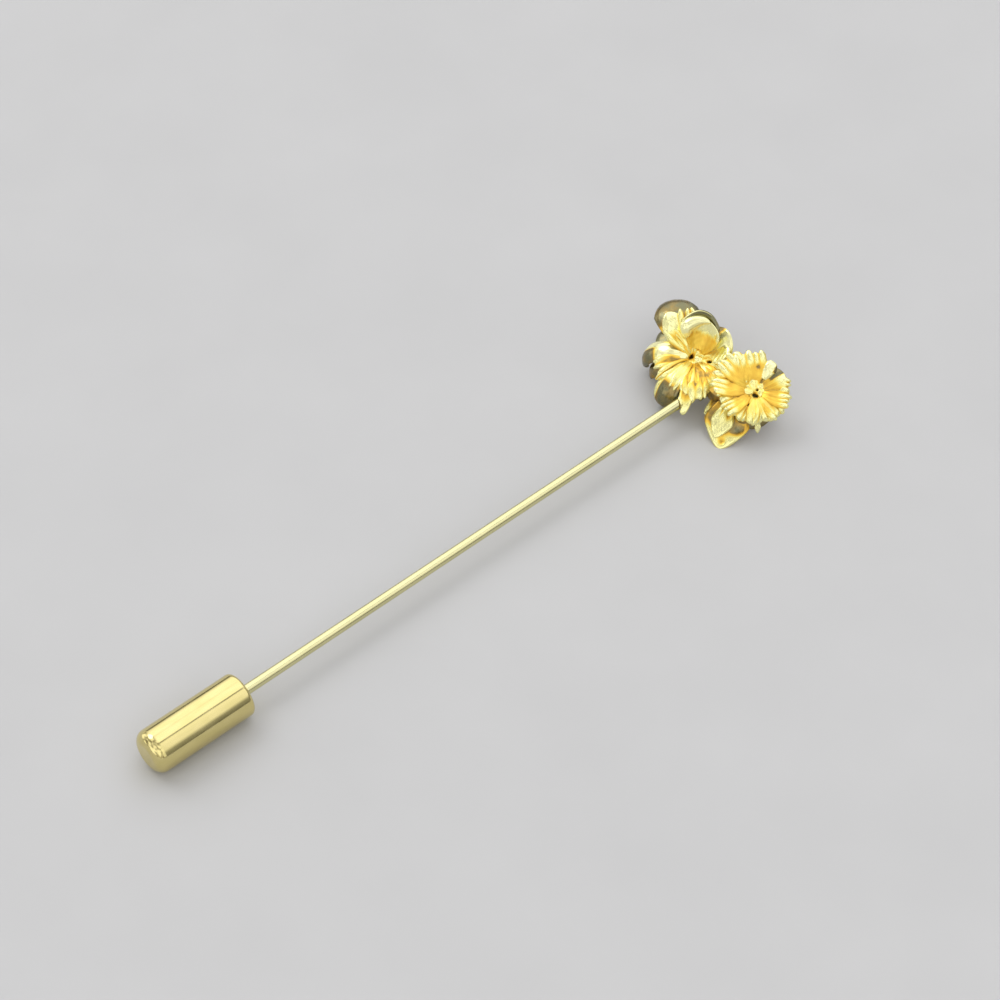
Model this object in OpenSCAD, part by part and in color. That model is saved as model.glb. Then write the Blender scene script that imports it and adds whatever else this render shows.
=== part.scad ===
// Stick pin lying on its back: a cast cluster of two blooms and a leaf over a soldered pad
// and wire, with a bullet clutch slipped on the point. The wire runs along X with the
// flowers at +X, and the whole pin rests on z = 0. Lengths are millimetres, angles degrees.

/* [Wire and pad] */
// Diameter of the wire
wire_d = 1.0; // [0.9:0.05:1.1]
// Bare round wire between the clutch and the flowers
wire_run = 52; // [40:0.5:60]
// Length of the tapered point, hidden in the clutch
point_len = 8.5; // [6:0.5:9]
// Length of the solder swelling between the round wire and the lug
swell_len = 3.6; // [3.2:0.1:4]
// Diameter of the pad under the flowers
pad_d = 3.6; // [3:0.2:4.4]
// Thickness of the pad
pad_h = 0.5; // [0.4:0.1:0.6]

/* [Clutch] */
// Diameter of the clutch
clutch_d = 4.35; // [4.2:0.05:4.5]
// Length of the clutch
clutch_len = 10.65; // [10:0.05:12]
// Radius of the edge at the blind end
blind_round = 1.05; // [0.5:0.05:1.5]
// Radius of the shoulder at the mouth
mouth_round = 0.45; // [0.2:0.05:0.6]
// Radial clearance of the bore round the wire
bore_gap = 0.05; // [0.02:0.01:0.1]
// Depth of the blind bore
bore_depth = 9.3; // [9.2:0.1:9.6]

/* [Flower head] */
// Length that the flowers take up along the wire
head_len = 10.4; // [10:0.1:11]
// Clearance of the casting over the pad and the wire
seat_gap = 0.08; // [0.05:0.01:0.15]
// Steps along a petal
petal_steps = 6; // [5:1:7]

/* [Hidden] */
$fn = 64;

wire_r = wire_d / 2;
clutch_r = clutch_d / 2;
axis_z = clutch_r;
// The wire lies a little off the middle of the flowers
wire_y = -0.6;
overall = clutch_len + wire_run + head_len;
blind_x = -overall / 2;
mouth_x = blind_x + clutch_len;
head_x = mouth_x + wire_run;

// The pad lies across the top of the wire, and the lug between them takes the solder.
pad_at = [7, -0.6];
pad_sink = 0.2;
pad_z = axis_z + wire_r - pad_sink;
lug_w = 1.7;
lug_end = pad_at[0] + pad_d / 2 - 0.2;
swell_r = 0.6;
point_r = 0.06;
point_blunt = 0.44;
point_tip_len = 4;

// Three bosses joined by a hull make the casting's back: X, Y, Z, foot radius, top radius, height
back_bosses = [
    [5.84, 2.28, 2.175, 1.2, 1.5, 1.3],
    [7.00, -4.66, 2.375, 1.2, 1.7, 1.3],
    [4.90, -2.00, 1.575, 0.5, 0.7, 1.6],
];
// The casting is cut at ten times its size and scaled back, so its smallest facets stay whole
fine = 10;

// Columns of the petal tables. AZIMUTH turns about the bloom's own axis, and ROOT, LENGTH
// and WIDTH are sizes along the petal. RISE is its slope at the root, CURL the turn along
// it, HOOK a further turn near the tip, and CUP the turn across it, up at the edges when
// positive. RIBS and RIB_H are its ridges. ROUND and POINT cut back the corners of the tip,
// NOTCH cuts in between the ridges, TAPER narrows the tip, and LIFT raises the root.
AZIMUTH = 0; ROOT = 1; LENGTH = 2; WIDTH = 3; RISE = 4; CURL = 5; HOOK = 6; CUP = 7;
RIBS = 8; RIB_H = 9; ROUND = 10; POINT = 11; NOTCH = 12; TAPER = 13; THICK = 14; LIFT = 15;

left_petals = [
    // the smooth petal behind, down to the surface
    [  66, 1.0, 7.4, 4.7,  31, -58,  -50, -60, 0, 0.00, 0.35, 2.0, 0.00, 0.0, 0.50, -0.50],
    // the ribbed fan in front of it
    [  71, 0.5, 5.0, 3.6,  42, -25,    0,  20, 4, 0.25, 0.12, 2.0, 0.12, 0.0, 0.40,  0.00],
    // the petals round the side that faces the point
    [ 122, 0.5, 7.7, 2.6,  32, -150,  -20, -60, 2, 0.12, 0.35, 2.0, 0.00, 0.1, 0.50,  0.00],
    [ 160, 0.5, 3.9, 1.9,  18, -30,  -40,  20, 3, 0.22, 0.30, 2.0, 0.05, 0.0, 0.40,  0.00],
    [-168, 0.5, 7.7, 2.6,  44, -150,  -60, -40, 3, 0.18, 0.35, 1.6, 0.00, 0.0, 0.50,  0.00],
    [-154, 0.5, 3.9, 1.8,  20, -30,    0,  20, 3, 0.22, 0.40, 1.2, 0.00, 0.1, 0.40,  0.00],
    [-132, 0.5, 5.1, 3.2,  24, -42,  -30,  20, 4, 0.22, 0.30, 1.2, 0.10, 0.0, 0.40,  0.00],
    [-106, 0.5, 4.3, 2.7,  25, -45,    0,  20, 3, 0.25, 0.30, 1.5, 0.10, 0.0, 0.45,  0.00],
    [ -80, 0.5, 3.4, 2.4,  25, -45,    0,  20, 3, 0.20, 0.30, 1.5, 0.10, 0.0, 0.40,  0.00],
    [ -47, 0.5, 3.0, 2.2,  26, -40,    0,  20, 3, 0.20, 0.30, 1.5, 0.10, 0.0, 0.40,  0.00],
    [-142, 0.5, 6.0, 1.8,  22, -50,  -20,   0, 0, 0.00, 0.40, 1.6, 0.00, 0.0, 0.40, -0.10],
    // the upright cup and its side petal
    [  35, 0.9, 4.6, 4.2,  50,   5,   30,  90, 0, 0.00, 0.30, 2.0, 0.00, 0.0, 0.40,  0.00],
    [  -9, 0.9, 4.4, 2.8,  45,   0,    0,  60, 0, 0.00, 0.40, 2.0, 0.00, 0.0, 0.40,  0.00],
];

right_petals = [
    // the frilled outer row
    [  58, 0.7, 3.6, 2.5,  38, -35,    0,  30, 3, 0.22, 0.16, 2.0, 0.08, 0.0, 0.40,  0.00],
    [  91, 0.7, 4.4, 2.6,  38, -42,    0,  30, 3, 0.20, 0.16, 2.0, 0.08, 0.0, 0.40,  0.00],
    [ 127, 0.7, 4.5, 3.0,  36, -52,    0,  30, 4, 0.22, 0.16, 2.0, 0.08, 0.0, 0.40,  0.00],
    [ 163, 0.7, 3.6, 2.6,  35, -60,    0,  30, 3, 0.22, 0.16, 2.0, 0.08, 0.0, 0.40,  0.00],
    [-160, 0.7, 2.9, 2.2,  21, -60,  -30,  30, 3, 0.20, 0.16, 2.0, 0.08, 0.0, 0.40,  0.00],
    [-124, 0.7, 2.9, 2.6,  20, -55,  -30,  30, 4, 0.20, 0.16, 2.0, 0.08, 0.0, 0.40,  0.00],
    [ -84, 0.7, 2.9, 2.5,  22, -50,    0,  30, 4, 0.22, 0.16, 2.0, 0.08, 0.0, 0.40,  0.00],
    [ -49, 0.7, 2.9, 2.5,  27, -40,    0,  30, 4, 0.26, 0.16, 2.0, 0.08, 0.0, 0.40,  0.00],
    [ -14, 0.7, 2.9, 2.3,  33, -35,    0,  30, 3, 0.22, 0.16, 2.0, 0.08, 0.0, 0.40,  0.00],
    [  23, 0.7, 3.2, 2.2,  46, -20,  -60,  50, 2, 0.12, 0.25, 2.0, 0.04, 0.0, 0.40,  0.00],
    // the inner row round the eye
    [  41, 0.3, 2.0, 1.6,  61, -40,    0,  40, 3, 0.16, 0.20, 2.0, 0.08, 0.0, 0.35,  0.30],
    [ 101, 0.3, 2.0, 1.6,  53, -40,    0,  40, 3, 0.16, 0.20, 2.0, 0.08, 0.0, 0.35,  0.30],
    [ 159, 0.3, 1.9, 1.6,  49, -50,    0,  40, 3, 0.16, 0.20, 2.0, 0.08, 0.0, 0.35,  0.30],
    [-141, 0.3, 1.8, 1.6,  50, -50,    0,  40, 3, 0.16, 0.20, 2.0, 0.08, 0.0, 0.35,  0.30],
    [ -80, 0.3, 1.9, 1.6,  50, -50,    0,  40, 3, 0.16, 0.20, 2.0, 0.08, 0.0, 0.35,  0.30],
    [ -20, 0.3, 2.0, 1.6,  54, -40,    0,  40, 3, 0.16, 0.20, 2.0, 0.08, 0.0, 0.35,  0.30],
    // two smooth petals drooping below
    [-110, 0.8, 3.4, 3.2, -15, -45,    0, -30, 0, 0.00, 0.30, 2.0, 0.00, 0.0, 0.45, -0.30],
    [ -51, 0.8, 3.3, 3.2, -11, -45,    0, -30, 0, 0.00, 0.30, 2.0, 0.00, 0.0, 0.45, -0.30],
];

leaf_blades = [
    // the leaf, then the raised panel on it
    [-149, 0.0, 5.5, 4.8, -19, -12,    0, -20, 0, 0.00, 0.50, 1.6, 0.00, 0.0, 0.50,  0.00],
    [-158, 1.0, 3.7, 2.4, -20, -12,    0, -30, 0, 0.00, 0.45, 1.6, 0.00, 0.0, 0.50, -0.05],
];

// Place, tilt and direction of tilt of each group, from the point where the wire goes under.
left_at = [5.75, 2.46, 3.52];
left_tilt = [12, -131];
right_at = [6.99, -4.76, 3.77];
right_tilt = [22, -115];
leaf_at = [5.9, -3.2, 2.8];
leaf_tilt = [8, -131];

function total(v) = v * [for (x = v) 1];
function bend(p, s) = p[RISE] + p[CURL] * s + p[HOOK] * pow(max(0, (s - 0.55) / 0.45), 2);
// Distance out and height of a petal's centre line, by sums over short steps
function reach(p, s, n = 12) =
    p[ROOT] + p[LENGTH] * s / n * total([for (i = [0 : n - 1]) cos(bend(p, s * (i + 0.5) / n))]);
function height(p, s, n = 12) =
    p[LIFT] + p[LENGTH] * s / n * total([for (i = [0 : n - 1]) sin(bend(p, s * (i + 0.5) / n))]);
function crest(p, t) = p[RIBS] == 0 ? 1 : pow(sin(90 * p[RIBS] * (t + 1)), 2);
function cut_back(p, s, t) =
    s * (1 - p[ROUND] * pow(abs(t), p[POINT]) - p[NOTCH] * (1 - crest(p, t)));
function half_width(p, s) =
    p[WIDTH] / 2 * (0.35 + 0.65 * sin(90 * min(1, s / 0.65))) * (1 - p[TAPER] * s * s);
// A point of the petal's face (side 1) or back (side -1)
function petal_point(p, s0, t, side) =
    let (s = cut_back(p, s0, t),
         a = bend(p, s),
         turn = (abs(p[CUP]) < 1 ? 1 : p[CUP]) / 2,
         bow_r = half_width(p, s) * 180 / (PI * turn),
         ridge = side > 0 ? p[RIB_H] * crest(p, t) * min(1, 4 * s) : 0,
         n = bow_r * (1 - cos(turn * t)) + side * p[THICK] * (1 - 0.35 * s) / 2 + ridge)
    [reach(p, s) - sin(a) * n, bow_r * sin(turn * t), height(p, s) + cos(a) * n];

// One closed petal: a grid on its face, one on its back and a strip round the edge
module petal(p) {
    nu = petal_steps;
    nv = p[RIBS] == 0 ? 6 : 2 * p[RIBS];
    back = (nu + 1) * (nv + 1);
    at = function(i, j) i * (nv + 1) + j;
    points = [for (side = [1, -1]) for (i = [0 : nu]) for (j = [0 : nv])
        petal_point(p, i / nu, 2 * j / nv - 1, side)];
    cells = [for (i = [0 : nu - 1]) for (j = [0 : nv - 1])
        [at(i, j), at(i + 1, j), at(i + 1, j + 1), at(i, j + 1)]];
    rim = concat(
        [for (j = [0 : nv]) at(0, j)], [for (i = [1 : nu]) at(i, nv)],
        [for (j = [nv - 1 : -1 : 0]) at(nu, j)], [for (i = [nu - 1 : -1 : 1]) at(i, 0)]);
    m = len(rim);
    faces = concat(
        [for (c = cells) each [[c[0], c[2], c[1]], [c[0], c[3], c[2]]]],
        [for (c = cells) each [[back + c[0], back + c[1], back + c[2]],
                               [back + c[0], back + c[2], back + c[3]]]],
        [for (k = [0 : m - 1]) let (a = rim[k], b = rim[(k + 1) % m])
            each [[a, back + b, b], [a, back + a, back + b]]]);
    rotate(p[AZIMUTH]) polyhedron(points, faces);
}

// Moves a group to its place on the head and leans its axis over
module leaning(at, tilt)
    translate([head_x, wire_y, 0] + at) rotate(tilt[1]) rotate([0, tilt[0], 0]) rotate(-tilt[1]) children();

// The eye of a bloom: a low boss over the petals' roots, and a ring of short stamens on it
module eye(count, boss_r, ring_r, rod_r, rod_h) {
    translate([0, 0, -boss_r / 2]) sphere(boss_r, $fn = 14);
    for (i = [0 : count - 1]) rotate(360 * i / count + 20) hull($fn = 8) {
        translate([ring_r * 0.6, 0, 0]) sphere(rod_r);
        translate([ring_r, 0, rod_h]) sphere(rod_r);
    }
}

module left_bloom() leaning(left_at, left_tilt) {
    for (p = left_petals) petal(p);
    eye(5, 1.1, 0.5, 0.2, 0.6);
}

module right_bloom() leaning(right_at, right_tilt) {
    for (p = right_petals) petal(p);
    eye(5, 1.1, 0.5, 0.2, 0.6);
}

// The thick back that the petals grow from
module cast_body() hull($fn = 24) for (b = back_bosses)
    translate([head_x + b[0], wire_y + b[1], b[2]]) cylinder(r1 = b[3], r2 = b[4], h = b[5]);

// Room in the casting for the wire, the lug and the pad, down to the surface below
module seat_room() {
    pad_top = pad_z + pad_h + seat_gap;
    wire_room = swell_r + seat_gap;
    translate([head_x + pad_at[0], wire_y + pad_at[1], 0])
        cylinder(d = pad_d + 2 * seat_gap, h = pad_top, $fn = 32);
    translate([head_x - 1, wire_y, axis_z]) rotate([0, 90, 0])
        cylinder(r = wire_room, h = swell_len + 2, $fn = 24);
    translate([head_x + swell_len - seat_gap, wire_y - lug_w / 2 - seat_gap, 0])
        cube([lug_end - swell_len + 2 * seat_gap, lug_w + 2 * seat_gap, axis_z + wire_r + seat_gap]);
}

module flower_head() scale(1 / fine) color("gold") scale(fine) difference() {
    union() {
        left_bloom();
        right_bloom();
        leaning(leaf_at, leaf_tilt) for (p = leaf_blades) petal(p);
        cast_body();
    }
    seat_room();
    // nothing reaches below the surface
    translate([head_x - head_len / 2, -2 * head_len, -head_len]) cube([2 * head_len, 4 * head_len, head_len]);
}

// The wire, its point, the swelling of solder, the lug and the pad, in one piece
module pin_shaft() color("khaki") {
    translate([mouth_x, wire_y, axis_z]) rotate([0, 90, 0]) cylinder(r = wire_r, h = wire_run);
    translate([mouth_x, wire_y, axis_z]) rotate([0, -90, 0]) rotate_extrude()
        polygon([[0, 0], [wire_r, 0], [point_blunt, point_len - point_tip_len],
                 [point_r, point_len], [0, point_len]]);
    translate([head_x, wire_y, axis_z]) rotate([0, 90, 0]) cylinder(r1 = wire_r, r2 = swell_r, h = swell_len);
    translate([head_x + swell_len, wire_y - lug_w / 2, axis_z - wire_r])
        cube([lug_end - swell_len, lug_w, wire_d]);
    translate([head_x + pad_at[0], wire_y + pad_at[1], pad_z]) cylinder(d = pad_d, h = pad_h);
}

// The bullet clutch: a round cap with a blind bore, its shoulder and end rounded
module clutch() color("darkkhaki") translate([blind_x, wire_y, axis_z]) rotate([0, 90, 0]) rotate_extrude() {
    bore_r = wire_r + bore_gap;
    floor_x = clutch_len - bore_depth;
    difference() {
        union() {
            translate([0, blind_round]) square([clutch_r, clutch_len - blind_round - mouth_round]);
            square([clutch_r - blind_round, clutch_len]);
            translate([0, blind_round]) square([clutch_r - mouth_round, clutch_len - blind_round]);
            translate([clutch_r - blind_round, blind_round]) circle(blind_round);
            translate([clutch_r - mouth_round, clutch_len - mouth_round]) circle(mouth_round);
        }
        translate([-clutch_r, -1]) square([clutch_r, clutch_len + 2]);
        translate([0, floor_x]) square([bore_r, bore_depth + 1]);
    }
}

pin_shaft();
flower_head();
clutch();
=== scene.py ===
"""Stick pin lying on its back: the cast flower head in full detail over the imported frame, with
the wire and the clutch given their polished finishes. Lengths here are millimetres, angles
are degrees, and each mesh is scaled to metres as it is made."""
import math
import bmesh
import bpy
import numpy as np
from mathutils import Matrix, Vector


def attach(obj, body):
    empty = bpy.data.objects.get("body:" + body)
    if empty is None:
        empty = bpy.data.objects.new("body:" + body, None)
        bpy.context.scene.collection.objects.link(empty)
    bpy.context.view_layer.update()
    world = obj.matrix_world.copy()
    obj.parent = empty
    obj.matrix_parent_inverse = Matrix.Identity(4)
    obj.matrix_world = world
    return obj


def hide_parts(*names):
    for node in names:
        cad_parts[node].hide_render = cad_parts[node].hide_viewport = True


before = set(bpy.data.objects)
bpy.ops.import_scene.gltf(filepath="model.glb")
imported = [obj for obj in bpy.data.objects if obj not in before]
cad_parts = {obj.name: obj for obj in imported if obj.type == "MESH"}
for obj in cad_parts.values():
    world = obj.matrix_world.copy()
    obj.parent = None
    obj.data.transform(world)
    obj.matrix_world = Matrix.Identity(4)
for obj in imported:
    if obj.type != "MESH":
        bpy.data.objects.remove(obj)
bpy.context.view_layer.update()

MM = 0.001

# ---- places and sizes, as in the part's source but for one boss ----
HEAD_X, WIRE_Y, AXIS_Z, WIRE_R = 26.125, -0.6, 2.175, 0.5
SEAT_GAP, SWELL_R, SWELL_LEN = 0.08, 0.6, 3.6
PAD_AT, PAD_R, PAD_TOP = (7.0, -0.6), 1.8, 2.975
LUG_W, LUG_END = 1.7, 8.6
# Three bosses joined by a hull make the casting's back: X, Y, Z, foot radius, top radius and
# height. The second is lower and narrower than in the source, so that its petals hide it.
BACK_BOSSES = [
    (5.84, 2.28, 2.175, 1.2, 1.5, 1.3),
    (7.00, -4.66, 2.375, 1.2, 1.5, 0.7),
    (4.90, -2.00, 1.575, 0.5, 0.7, 1.6),
]
BOSS_SIDES = 24
# Each group's place from the head's start, and how far its axis leans and towards what azimuth
LEFT_AT, LEFT_TILT = (5.75, 2.46, 3.52), (12, -131)
RIGHT_AT, RIGHT_TILT = (6.99, -4.76, 3.77), (22, -115)
LEAF_AT, LEAF_TILT = (5.9, -3.2, 2.8), (8, -131)

# Columns of the petal tables, as in the part's source. azimuth turns about the bloom's own
# axis, and root, length and width are sizes along the petal. rise is its slope at the root,
# curl the turn along it, hook a further turn near the tip, and cup the turn across it, up at
# the edges when positive. ribs and rib_h are its ridges. round and point cut back the corners
# of the tip, notch cuts in between the ridges, taper narrows the tip, and lift raises the
# root. The last value holds what only some petals have, as petal and petal_shade say: ease,
# lumps, rim, pits (place along, place across, size, depth, with painted shade in them), and
# the painted light: shade painted at the root, on the face's lower part and in the middle, a
# painted highlight, and painted shade and dark reflection along the petal (start, end,
# share) and across it (start, end, share, on the other side where the end lies below the
# start).
COLUMNS = ("azimuth root length width rise curl hook cup ribs rib_h round point notch "
           "taper thick lift").split()
LEFT_PETALS = [
    # the smooth petals behind, down to the surface, darkened by painted dark reflection
    (66, 1.0, 7.3, 4.8, 31, -58, -50, -60, 0, 0.00, 0.32, 2.0, 0.00, 0.0, 0.50, -0.50,
     {"dark": (0.3, 0.6, 0.9)}),
    (84, 1.0, 4.3, 4.2, 27, -58, -50, -60, 0, 0.00, 0.32, 2.0, 0.00, 0.0, 0.50, -0.50,
     {"dark": (0.2, 0.5, 0.9)}),
    # the fan: a smooth folded lobe in front of two ribbed ones
    (83, 0.5, 4.9, 2.6, 42, -30, 0, -30, 3, 0.17, 0.25, 2.0, 0.00, 0.0, 0.45, 0.00,
     {"ease": -0.42, "root_shade": 0.3, "bright": 0.15, "pits": ((0.5, 0.75, 0.5, 0.3),)}),
    (59, 0.5, 5.1, 2.3, 42, -20, 0, 20, 3, 0.20, 0.12, 2.0, 0.12, 0.0, 0.40, -0.30, {}),
    (99, 0.5, 3.8, 1.6, 37, -30, 0, 20, 2, 0.28, 0.30, 2.0, 0.12, 0.0, 0.40, 0.00, {}),
    # the petal that curls over to the surface, with a painted highlight on its crest and painted
    # dark reflection below, and the one under it darkened by painted shade
    (122, 0.5, 7.7, 2.9, 34, -150, -20, -100, 0, 0.00, 0.35, 2.0, 0.00, 0.1, 0.50, 0.10,
     {"dusk": (-0.12, 0.02, 0.95), "bright": 0.6}),
    (142, 0.5, 5.4, 2.4, 12, -95, -20, -70, 0, 0.00, 0.35, 2.0, 0.00, 0.1, 0.45, -0.20,
     {"dark": (0.3, 0.7, 0.8), "lumps": 0.05}),
    # the ribbed petals round the side that faces the point, and the second curled one
    (150, 0.5, 3.9, 1.7, 20, -36, -40, 50, 2, 0.16, 0.30, 2.2, 0.05, 0.0, 0.40, 0.00,
     {"middle_shade": 0.5, "root_shade": 0.6}),
    (170, 0.5, 4.3, 1.5, 24, -50, -20, 30, 2, 0.24, 0.30, 2.0, 0.06, 0.2, 0.40, 0.00,
     {"root_shade": 0.65}),
    (-170, 0.5, 7.7, 2.8, 42, -150, -60, -80, 0, 0.00, 0.35, 1.6, 0.00, 0.0, 0.50, -0.10,
     {"dusk": (-0.62, -0.48, 0.9), "lumps": 0.06}),
    (-164, 0.5, 4.0, 1.7, 22, -38, 0, 20, 2, 0.22, 0.28, 2.0, 0.08, 0.1, 0.40, 0.00,
     {"root_shade": 0.65}),
    (-146, 0.5, 4.2, 1.7, 22, -38, 0, 20, 2, 0.20, 0.28, 2.0, 0.08, 0.1, 0.40, 0.00,
     {"root_shade": 0.65}),
    (-131, 0.5, 4.8, 2.8, 24, -44, -30, 10, 4, 0.09, 0.26, 2.0, 0.08, 0.0, 0.45, 0.00,
     {"inner": 0.6, "root_shade": 0.7}),
    (-106, 0.5, 4.0, 3.0, 26, -45, 0, 0, 4, 0.07, 0.24, 2.0, 0.05, 0.0, 0.50, 0.00,
     {"inner": 0.6, "root_shade": 0.7}),
    (-79, 0.5, 3.5, 2.4, 26, -45, 0, 10, 2, 0.14, 0.30, 1.5, 0.08, 0.0, 0.40, 0.00,
     {"pits": ((0.33, 0.35, 0.2, 0.6),)}),
    (-50, 0.5, 3.0, 2.2, 28, -40, 0, 20, 2, 0.14, 0.30, 1.5, 0.08, 0.0, 0.40, 0.00,
     {"pits": ((0.38, -0.43, 0.2, 0.6),)}),
    # a small curl by the heart, and a small ribbed petal on the others
    (-68, 0.1, 1.15, 0.95, 12, -60, 0, -130, 0, 0.00, 0.30, 2.0, 0.00, 0.0, 0.45, 0.35,
     {"root_shade": 0.0}),
    (-150, 2.0, 2.3, 1.8, 0, -50, 0, -20, 3, 0.16, 0.30, 2.0, 0.14, 0.0, 0.40, 0.20,
     {"root_shade": 0.0, "dark": (0.2, 0.7, 0.35), "lumps": 0.05}),
    # the tongue beside the wire
    (-143, 0.5, 5.9, 1.35, 22, -50, -20, 0, 0, 0.00, 0.25, 2.4, 0.00, 0.0, 0.45, -0.10,
     {"root_shade": 1.7, "middle_shade": 0.9}),
    # the petal behind the cup, the cup, and the side petals right of it
    (35, 0.9, 4.6, 4.2, 50, 5, 30, 90, 0, 0.00, 0.30, 2.0, 0.00, 0.0, 0.40, 0.00,
     {"dark": (0.3, 0.55, 1.0), "rim": 0.12}),
    (22, 0.7, 3.8, 4.1, 46, 12, 30, 110, 0, 0.00, 0.30, 2.0, 0.00, 0.0, 0.40, 0.05,
     {"inner": 1.0, "lumps": 0.03, "bright": 0.2}),
    (-13, 0.9, 3.6, 4.0, 38, -8, 10, -70, 0, 0.00, 0.35, 2.0, 0.00, 0.0, 0.45, 0.00,
     {"root_shade": 0.0, "bright": 0.3, "dusk": (0.05, 0.4, 0.8)}),
    (-40, 0.9, 3.0, 2.4, 34, 0, 0, 20, 0, 0.00, 0.35, 2.0, 0.00, 0.0, 0.40, 0.00,
     {"root_shade": 0.2, "pits": ((0.24, -0.74, 0.2, 0.6),)}),
]
# painted shade and highlight, and the carving, that most petals of the right bloom share
RUFFLED = {"ease": 0.5, "inner": 0.85, "bright": 0.15}
RIGHT_PETALS = [
    # the ring of ribbed petals
    (62, 0.7, 3.6, 3.3, 38, -35, 0, 30, 5, 0.17, 0.12, 3.0, 0.08, 0.0, 0.45, 0.00,
     {**RUFFLED, "pits": ((0.5, -0.45, 0.2, 0.14), (0.45, 0.35, 0.2, 0.1))}),
    (95, 0.7, 4.2, 2.9, 38, -42, 0, 30, 4, 0.18, 0.12, 3.0, 0.09, 0.0, 0.45, 0.00, RUFFLED),
    (127, 0.7, 4.0, 3.1, 36, -52, 0, 30, 5, 0.18, 0.12, 3.0, 0.08, 0.0, 0.45, 0.00,
     {**RUFFLED, "pits": ((0.52, -0.5, 0.2, 0.16),)}),
    (166, 0.7, 3.3, 2.8, 33, -60, 0, 30, 5, 0.18, 0.12, 3.0, 0.09, 0.0, 0.45, 0.00, RUFFLED),
    (-152, 0.7, 2.75, 2.8, 23, -62, -30, 30, 5, 0.12, 0.14, 3.0, 0.05, 0.0, 0.45, 0.00,
     {"ease": 0.3, "inner": 0.3, "root_shade": 0.2, "pits": ((0.33, -0.1, 0.11, 0.3),)}),
    (-113, 0.7, 2.65, 3.4, 23, -58, -30, 30, 6, 0.06, 0.12, 3.0, 0.04, 0.0, 0.45, 0.00,
     {"ease": 0.3, "inner": 0.3, "root_shade": 0.2}),
    (-78, 0.7, 2.9, 2.5, 23, -50, 0, 30, 4, 0.14, 0.14, 2.5, 0.08, 0.0, 0.45, -0.05, RUFFLED),
    (-43, 0.7, 3.0, 3.3, 28, -38, 0, 30, 6, 0.22, 0.10, 2.5, 0.10, 0.0, 0.45, 0.00, RUFFLED),
    # the smooth petal, with painted shadow along the lobe raised over it, and the lobe, with a
    # painted highlight and a painted shadow crescent on its lower side
    (-8, 0.7, 2.8, 2.4, 30, -30, 0, 20, 1, 0.06, 0.20, 2.0, 0.00, 0.0, 0.45, 0.00,
     {"inner": 0.6, "dusk": (0.0, 0.15, 0.95)}),
    (19, 1.5, 2.2, 1.5, 44, -45, -60, -100, 0, 0.00, 0.25, 2.0, 0.00, 0.0, 0.45, 0.50,
     {"bright": 0.5, "dusk": (-0.45, -0.6, 0.95)}),
    # small curls round the heart
    (141, 0.2, 2.1, 0.85, 12, -26, 0, -90, 0, 0.00, 0.25, 2.4, 0.00, 0.0, 0.40, 0.22,
     {"root_shade": 0.2}),
    (64, 0.2, 1.7, 0.85, 22, -20, -30, -90, 0, 0.00, 0.25, 2.4, 0.00, 0.0, 0.40, 0.15,
     {"root_shade": 0.2}),
    (3, 0.5, 1.4, 0.8, 20, -30, 0, -90, 0, 0.00, 0.25, 2.4, 0.00, 0.1, 0.40, 0.15, {"root_shade": 0.2}),
    (108, 0.9, 1.3, 0.65, 20, -40, 0, -90, 0, 0.00, 0.25, 2.4, 0.00, 0.1, 0.40, 0.25,
     {"root_shade": 0.2}),
    # the tip, and the petals under the ring darkened by painted shade
    (-124, 2.8, 1.3, 0.6, -30, -20, 0, -60, 0, 0.00, 0.50, 1.6, 0.00, 0.0, 0.40, -0.30,
     {"root_shade": 0.0}),
    (-128, 0.8, 2.85, 3.2, -12, -45, 0, -30, 0, 0.00, 0.30, 2.0, 0.00, 0.0, 0.45, -0.30,
     {"dark": (0.3, 0.8, 0.9)}),
    (-60, 0.8, 2.9, 3.2, -10, -45, 0, -30, 0, 0.00, 0.30, 2.0, 0.00, 0.0, 0.45, -0.30,
     {"dark": (0.3, 0.8, 0.9)}),
]
LEAF_BLADES = [
    # the blade with its raised rim
    (-149, 0.0, 5.5, 4.8, -19, -12, 0, -20, 0, 0.00, 0.50, 1.6, 0.00, 0.0, 0.50, 0.00,
     {"lumps": 0.02, "rim": 0.14, "inner": 0.8, "middle_shade": 0.9,
      "pits": ((0.85, 0.0, 0.36, 0.3), (0.6, 0.55, 0.6, 0.22))}),
    # the ribbed panel on it
    (-158, 1.0, 3.7, 2.4, -20, -12, 0, -30, 3, 0.12, 0.45, 1.6, 0.00, 0.0, 0.50, 0.02,
     {"ease": -0.3, "lumps": 0.02, "root_shade": 0.1, "pits": ((0.33, 0.5, 0.4, 0.14),)}),
    # the small side blade under it
    (160, 0.0, 3.5, 2.0, -19, -12, 0, -20, 0, 0.00, 0.40, 1.6, 0.00, 0.0, 0.50, -0.05,
     {"lumps": 0.04, "rim": 0.1, "root_shade": 0.9, "inner": 0.8, "middle_shade": 0.9}),
]

# The first petal of each table has this seed, and the next ones count on from it
LEFT_SEED, RIGHT_SEED, LEAF_SEED = 10, 40, 70
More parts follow.
